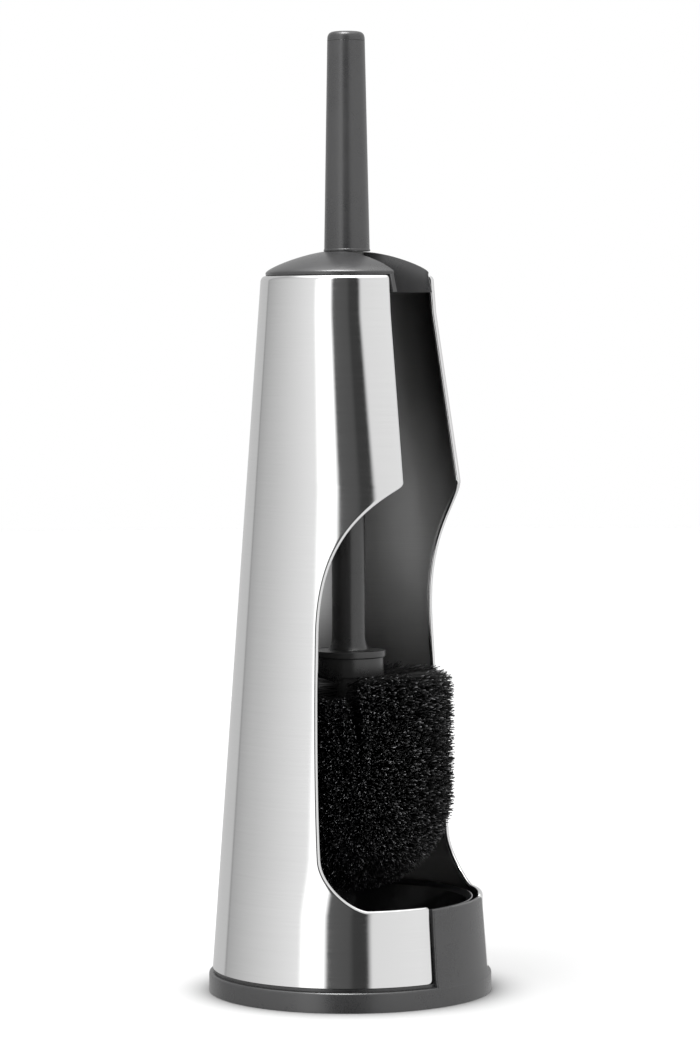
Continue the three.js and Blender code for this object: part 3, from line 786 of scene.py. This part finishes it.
def envelope(share):
    """A point of the head's outline and its root on the core, from the top (0) to the lowest point (1)."""
    straight = HEAD_TOP - HEAD_SHOULDER
    drop = HEAD_SHOULDER - HEAD_BOTTOM
    quarter = 0.25 * math.pi * (HEAD_RADIUS + drop)
    travelled = share * (straight + quarter)
    if travelled < straight:
        z = HEAD_TOP - travelled
        root_z = lerp(ROOT_TOP, ROOT_SHOULDER, travelled / straight)
        rounding = TOP_INSET * TOP_ROUND * max(0, (z - HEAD_TOP) / TOP_ROUND + 1) ** 2
        return Vector((HEAD_RADIUS - rounding, z)), Vector((CORE_RADIUS, root_z))
    turn = (travelled - straight) / quarter * math.pi / 2
    tip = Vector((HEAD_RADIUS * math.cos(turn), HEAD_SHOULDER - drop * math.sin(turn)))
    round_centre = Vector((CORE_RADIUS - CORE_END_ROUND, CORE_BOTTOM + CORE_END_ROUND))
    if turn < SIDE_TURN:
        return tip, Vector((CORE_RADIUS, lerp(ROOT_SHOULDER, round_centre.y, turn / SIDE_TURN)))
    bend = (turn - SIDE_TURN) / (math.pi / 2 - SIDE_TURN)
    reach = CORE_RADIUS * (1 - bend)
    return tip, Vector((reach, CORE_BOTTOM + max(0, reach - round_centre.x) ** 2 / (2 * CORE_END_ROUND)))


ENVELOPE_LENGTH = HEAD_TOP - HEAD_SHOULDER + 0.25 * math.pi * (HEAD_RADIUS + HEAD_SHOULDER - HEAD_BOTTOM)


def comb_apart(theta, z):
    """Pushes a filament sideways out of the bare line, where z is the height of its tip."""
    share = (PART_TOP[1] - z) / (PART_TOP[1] - PART_FOOT[1])
    if not 0 <= share <= 1:
        return theta
    middle = lerp(PART_TOP[0], PART_FOOT[0], share)
    half = math.degrees(lerp(*PART_HALF_WIDTH, share ** PART_TAPER) / HEAD_RADIUS)
    away = (theta - middle + 180) % 360 - 180
    if abs(away) > 3 * half:
        return theta
    return middle + math.copysign(half + abs(away) * 2 / 3, away)


def dented_top(theta):
    """The height of the highest filament ends at one angle."""
    away = abs((theta - DENT_THETA + 180) % 360 - 180)
    return HEAD_TOP - DENT_DEPTH * smooth(DENT_HALF_ANGLE - away, 0, DENT_EDGE)


def filament(dice, root, tip):
    """Ring centres along one filament: bent a little on the way and hooked to one side near its tip."""
    line = tip - root
    across = line.orthogonal().normalized()
    across.rotate(Matrix.Rotation(dice.uniform(0, 2 * math.pi), 3, line))
    beside = line.cross(across).normalized()
    sag = dice.gauss(0, FILAMENT_SAG)
    hook = dice.uniform(*FILAMENT_HOOK)
    points = []
    for k in range(FILAMENT_STEPS + 1):
        share = (k / FILAMENT_STEPS) ** 0.6
        wave = WAVE * math.sin(WAVINESS * share + sag)
        hooked = hook * max(0, share - HOOK_FROM) / HOOK_LENGTH * share
        bend = across * (sag * math.sin(math.pi * share) + hooked)
        points.append(root + line * share + bend + beside * wave * share)
    return points


def bristle_mesh(name, strands, dice):
    """Thin three-sided tubes along the strands, with how far along and which shade as attributes."""
    vertices = []
    faces = []
    along = []
    shade = []
    for points in strands:
        first = len(vertices)
        tone = dice.random() ** SPECK_RARITY
        side = (points[-1] - points[0]).orthogonal().normalized() * FILAMENT_RADIUS
        turned = side.copy()
        turned.rotate(Matrix.Rotation(2 * math.pi / 3, 3, points[-1] - points[0]))
        third = -side - turned
        for k, point in enumerate(points):
            vertices += [point + side, point + turned, point + third]
            along += [k / FILAMENT_STEPS] * 3
            shade += [tone] * 3
            if k:
                low = first + 3 * (k - 1)
                for a, b in ((0, 1), (1, 2), (2, 0)):
                    faces.append((low + a, low + b, low + b + 3, low + a + 3))
        end = first + 3 * FILAMENT_STEPS
        faces += [(first + 2, first + 1, first), (end, end + 1, end + 2)]
    thing = new_object(name, vertices, faces)
    for label, values in (("along", along), ("shade", shade)):
        layer = thing.data.attributes.new(label, "FLOAT", "POINT")
        layer.data.foreach_set("value", values)
    return thing


def tuft(dice, share, theta, spread_theta):
    """The filaments of one tuft, which fan out from one hole in the core."""
    strands = []
    for _ in range(FILAMENTS_PER_TUFT):
        scatter = dice.uniform(-TIP_SCATTER, TIP_SCATTER) * TUFT_PITCH / ENVELOPE_LENGTH
        tip, _ = envelope(min(1, max(0, share + scatter)))
        _, root = envelope(share)
        length = dice.gauss(LENGTH_MIDDLE, LENGTH_SPREAD)
        length += (dice.random() < STRAYS) * dice.uniform(*STRAY_LENGTH)
        outward = (tip - root).normalized()
        tip = tip + outward * min(LENGTH_MOST, length)
        turned = comb_apart(theta + dice.uniform(-TIP_FAN, TIP_FAN) * spread_theta, tip.y)
        foot_theta = comb_apart(theta + dice.uniform(-ROOT_FAN, ROOT_FAN) * spread_theta, tip.y)
        if tip.y > dented_top(turned):
            continue
        foot = Vector(polar(root.x - 0.5, foot_theta, root.y))
        foot += Vector([dice.uniform(-ROOT_SCATTER, ROOT_SCATTER) for _ in range(3)])
        strands.append(filament(dice, foot, Vector(polar(max(0.2, tip.x), turned, tip.y))))
    return strands


def make_bristles():
    """A ring of columns round the core, and the tufts below the core's end as one more piece."""
    rows = int(ENVELOPE_LENGTH / TUFT_PITCH)
    wedge = 360 / COLUMNS
    for column in range(COLUMNS):
        dice = random.Random(column)
        strands = []
        for row in range(rows):
            share = (row + 0.5) / rows
            radius = envelope(share)[0].x
            if radius < TIP_RADIUS:
                continue
            count = max(1, round(radius * math.radians(wedge) / TUFT_PITCH))
            for k in range(count):
                theta = (column + (k + 0.5 + 0.25 * (-1) ** row) / count) * wedge
                strands += tuft(dice, share, theta, wedge / count)
        bristles = bristle_mesh(f"bristles_{column + 1:02d}", strands, dice)
        finish_piece(bristles, "brush_head", "bristle_nylon", f"bristle_column_{column + 1:02d}", nylon)
    dice = random.Random(COLUMNS)
    strands = []
    for row in range(rows):
        share = (row + 0.5) / rows
        radius = envelope(share)[0].x
        if radius < TIP_RADIUS:
            count = max(1, round(2 * math.pi * radius / TUFT_PITCH))
            for k in range(count):
                strands += tuft(dice, share, 360 * (k + 0.5 * (row % 2)) / count, 360 / count)
    tip = bristle_mesh("bristles_tip", strands, dice)
    finish_piece(tip, "brush_head", "bristle_nylon", "bristle_tip", nylon)


# ---- Studio: floor, light and camera -------------------------------------------------------------

CAMERA_THETA = -58.2            # where the camera stands, as an angle from the slot
CAMERA_DISTANCE, CAMERA_HEIGHT = 1686.25, 299.35
CAMERA_PITCH, CAMERA_YAW, CAMERA_ROLL = 2.966, 0.0273, -0.2629
CAMERA_LENS, SENSOR = 127.48, 36
FLOOR_RADIUS = 4000
# Painted shade: the floor's colour is darker near the holder, to even out the softbox's brighter light
# there.
FLOOR_NEAR, FLOOR_FAR = (0.74, 0.74, 0.74), (0.97, 0.97, 0.97)
FLOOR_INNER, FLOOR_EVEN = 100, 1500         # the floor goes from its near to its far colour between these
# Painted shadow: a soft dark ring in the floor's colour round the foot.
FOOT_SHADE, FOOT_SHADE_WIDTH, FOOT_SHADE_POWER = (0.36, 0.36, 0.36), 26, 2.5     # a soft dark ring


def make_floor():
    corners = 64
    edge = [polar(FLOOR_RADIUS, 360 * k / corners, 0) for k in range(corners)]
    floor = new_object("floor", edge, [list(range(corners))])
    finish = Finish("pale_floor", Roughness=0.7)
    finish.shader.inputs["Specular IOR Level"].default_value = 0.2
    away = finish.nodes.new("ShaderNodeVectorMath")
    away.operation = "LENGTH"
    finish.links.new(finish.place, away.inputs[0])
    distance = away.outputs["Value"]
    near = finish.mix(finish.noise(900), FLOOR_NEAR, tuple(1.02 * c for c in FLOOR_NEAR))
    # Painted shade: darker near the holder, where the softbox lights the floor more.
    plain = finish.mix(finish.between(distance, FLOOR_INNER * MM, FLOOR_EVEN * MM, 0, 1), near, FLOOR_FAR)
    # Painted shadow: the floor's colour darkens in a soft ring round the foot, deepening its real shadow.
    shade = finish.between(distance, BASE_RADIUS * MM, (BASE_RADIUS + FOOT_SHADE_WIDTH) * MM, 1, 0)
    soft = finish.nodes.new("ShaderNodeMath")
    soft.operation = "POWER"
    soft.inputs[1].default_value = FOOT_SHADE_POWER
    finish.links.new(shade, soft.inputs[0])
    finish.link(finish.mix(soft.outputs[0], plain, FOOT_SHADE), "Base Color")
    # Mirrored rays pass through, so that the steel shows the studio's strips down to its foot.
    clear = finish.nodes.new("ShaderNodeBsdfTransparent")
    path = finish.nodes.new("ShaderNodeLightPath")
    either = finish.nodes.new("ShaderNodeMixShader")
    finish.links.new(path.outputs["Is Glossy Ray"], either.inputs[0])
    finish.links.new(finish.shader.outputs[0], either.inputs[1])
    finish.links.new(clear.outputs[0], either.inputs[2])
    finish.links.new(either.outputs[0], finish.nodes["Material Output"].inputs["Surface"])
    floor.data.materials.append(finish.material)


def make_camera():
    pitch, yaw, roll = (math.radians(a) for a in (CAMERA_PITCH, CAMERA_YAW, CAMERA_ROLL))
    ahead = Vector((math.sin(yaw), math.cos(yaw), 0))
    right = Vector((math.cos(yaw), -math.sin(yaw), 0))
    up = Vector((0, 0, 1))
    view = ahead * math.cos(pitch) - up * math.sin(pitch)
    top = ahead * math.sin(pitch) + up * math.cos(pitch)
    rolled_right = right * math.cos(roll) + top * math.sin(roll)
    rolled_top = top * math.cos(roll) - right * math.sin(roll)
    axes = Matrix((rolled_right, rolled_top, -view)).transposed().to_4x4()
    place = Matrix.Translation(Vector((0, -CAMERA_DISTANCE, CAMERA_HEIGHT)) * MM)
    camera = bpy.data.objects.new("camera", bpy.data.cameras.new("camera"))
    camera.data.lens = CAMERA_LENS
    camera.data.sensor_fit = "VERTICAL"
    camera.data.sensor_height = SENSOR
    camera.matrix_world = Matrix.Rotation(math.radians(CAMERA_THETA), 4, "Z") @ place @ axes
    bpy.context.scene.collection.objects.link(camera)
    bpy.context.scene.camera = camera


# Brightness of the studio round the horizon, as (degrees from the camera's side, brightness).
STUDIO_ROUND = [
    (-180, 0.62), (-131, 0.6), (-128, 0.33), (-126, 0.45), (-44, 0.95), (-41, 1.5), (-22, 1.5),
    (-19, 0.11), (-1, 0.09), (3, 0.05), (14, 0.045), (18, 0.86), (60, 0.92), (110, 0.8), (178, 0.62),
]
OVERHEAD = 1.7
CEILING_EDGE, CEILING_FULL = 0.7, 0.9     # where the ceiling begins and is full, as sines of the elevation
SOFTBOX_SIZE, SOFTBOX_WATTS = 550, 13
SOFTBOX_REACH, SOFTBOX_HEIGHT, SOFTBOX_SIDE = 300, 1500, -35


def make_studio():
    """Tall strips of light and a dark screen all round, which the steel mirrors, and a bright ceiling."""
    world = bpy.data.worlds.new("studio")
    bpy.context.scene.world = world
    world.use_nodes = True
    nodes = world.node_tree.nodes
    links = world.node_tree.links
    background = nodes["Background"]
    place = nodes.new("ShaderNodeTexCoord").outputs["Generated"]
    turn = nodes.new("ShaderNodeVectorRotate")
    turn.rotation_type = "Z_AXIS"
    turn.inputs["Angle"].default_value = math.radians(90 - CAMERA_THETA)
    split = nodes.new("ShaderNodeSeparateXYZ")
    angle = nodes.new("ShaderNodeMath")
    angle.operation = "ARCTAN2"
    share = nodes.new("ShaderNodeMapRange")
    for socket, number in zip(("From Min", "From Max"), (-math.pi, math.pi)):
        share.inputs[socket].default_value = number
    links.new(place, turn.inputs["Vector"])
    links.new(turn.outputs["Vector"], split.inputs["Vector"])
    links.new(split.outputs["Y"], angle.inputs[0])
    links.new(split.outputs["X"], angle.inputs[1])
    links.new(angle.outputs[0], share.inputs["Value"])
    ramp = nodes.new("ShaderNodeValToRGB")
    links.new(share.outputs["Result"], ramp.inputs["Fac"])
    stops = ramp.color_ramp.elements
    while len(stops) > 1:
        stops.remove(stops[-1])
    for k, (degrees, brightness) in enumerate(STUDIO_ROUND):
        position = (degrees + 180) / 360
        stop = stops[0] if k == 0 else stops.new(position)
        stop.position = position
        stop.color = (brightness, brightness, brightness, 1)
    rise = nodes.new("ShaderNodeMapRange")
    rise.interpolation_type = "SMOOTHSTEP"
    rise.inputs["From Min"].default_value = CEILING_EDGE
    rise.inputs["From Max"].default_value = CEILING_FULL
    links.new(split.outputs["Z"], rise.inputs["Value"])
    # In a colour mix, socket 0 is the share, and sockets 6 and 7 are the two colours.
    ceiling = nodes.new("ShaderNodeMix")
    ceiling.data_type = "RGBA"
    links.new(rise.outputs["Result"], ceiling.inputs[0])
    links.new(ramp.outputs["Color"], ceiling.inputs[6])
    ceiling.inputs[7].default_value = (OVERHEAD, OVERHEAD, OVERHEAD, 1)
    seen = nodes.new("ShaderNodeLightPath")
    backdrop = nodes.new("ShaderNodeMix")
    backdrop.data_type = "RGBA"
    links.new(seen.outputs["Is Camera Ray"], backdrop.inputs[0])
    links.new(ceiling.outputs[2], backdrop.inputs[6])
    backdrop.inputs[7].default_value = (1, 1, 1, 1)
    links.new(backdrop.outputs[2], background.inputs["Color"])
    bpy.context.scene.view_settings.view_transform = "Standard"


def make_softbox():
    """A square lamp over the holder, a little towards the camera's left."""
    lamp = bpy.data.lights.new("softbox", "AREA")
    lamp.size = SOFTBOX_SIZE * MM
    lamp.energy = SOFTBOX_WATTS
    softbox = bpy.data.objects.new("softbox", lamp)
    place = Vector(polar(SOFTBOX_REACH, CAMERA_THETA + SOFTBOX_SIDE, SOFTBOX_HEIGHT)) * MM
    softbox.matrix_world = Matrix.Translation(place) @ place.to_track_quat("Z", "Y").to_matrix().to_4x4()
    bpy.context.scene.collection.objects.link(softbox)


make_camera()
make_studio()
make_softbox()
make_floor()
make_jacket()
make_base()
make_bucket()
make_cap()
make_grip()
make_stem()
make_core()
make_bristles()
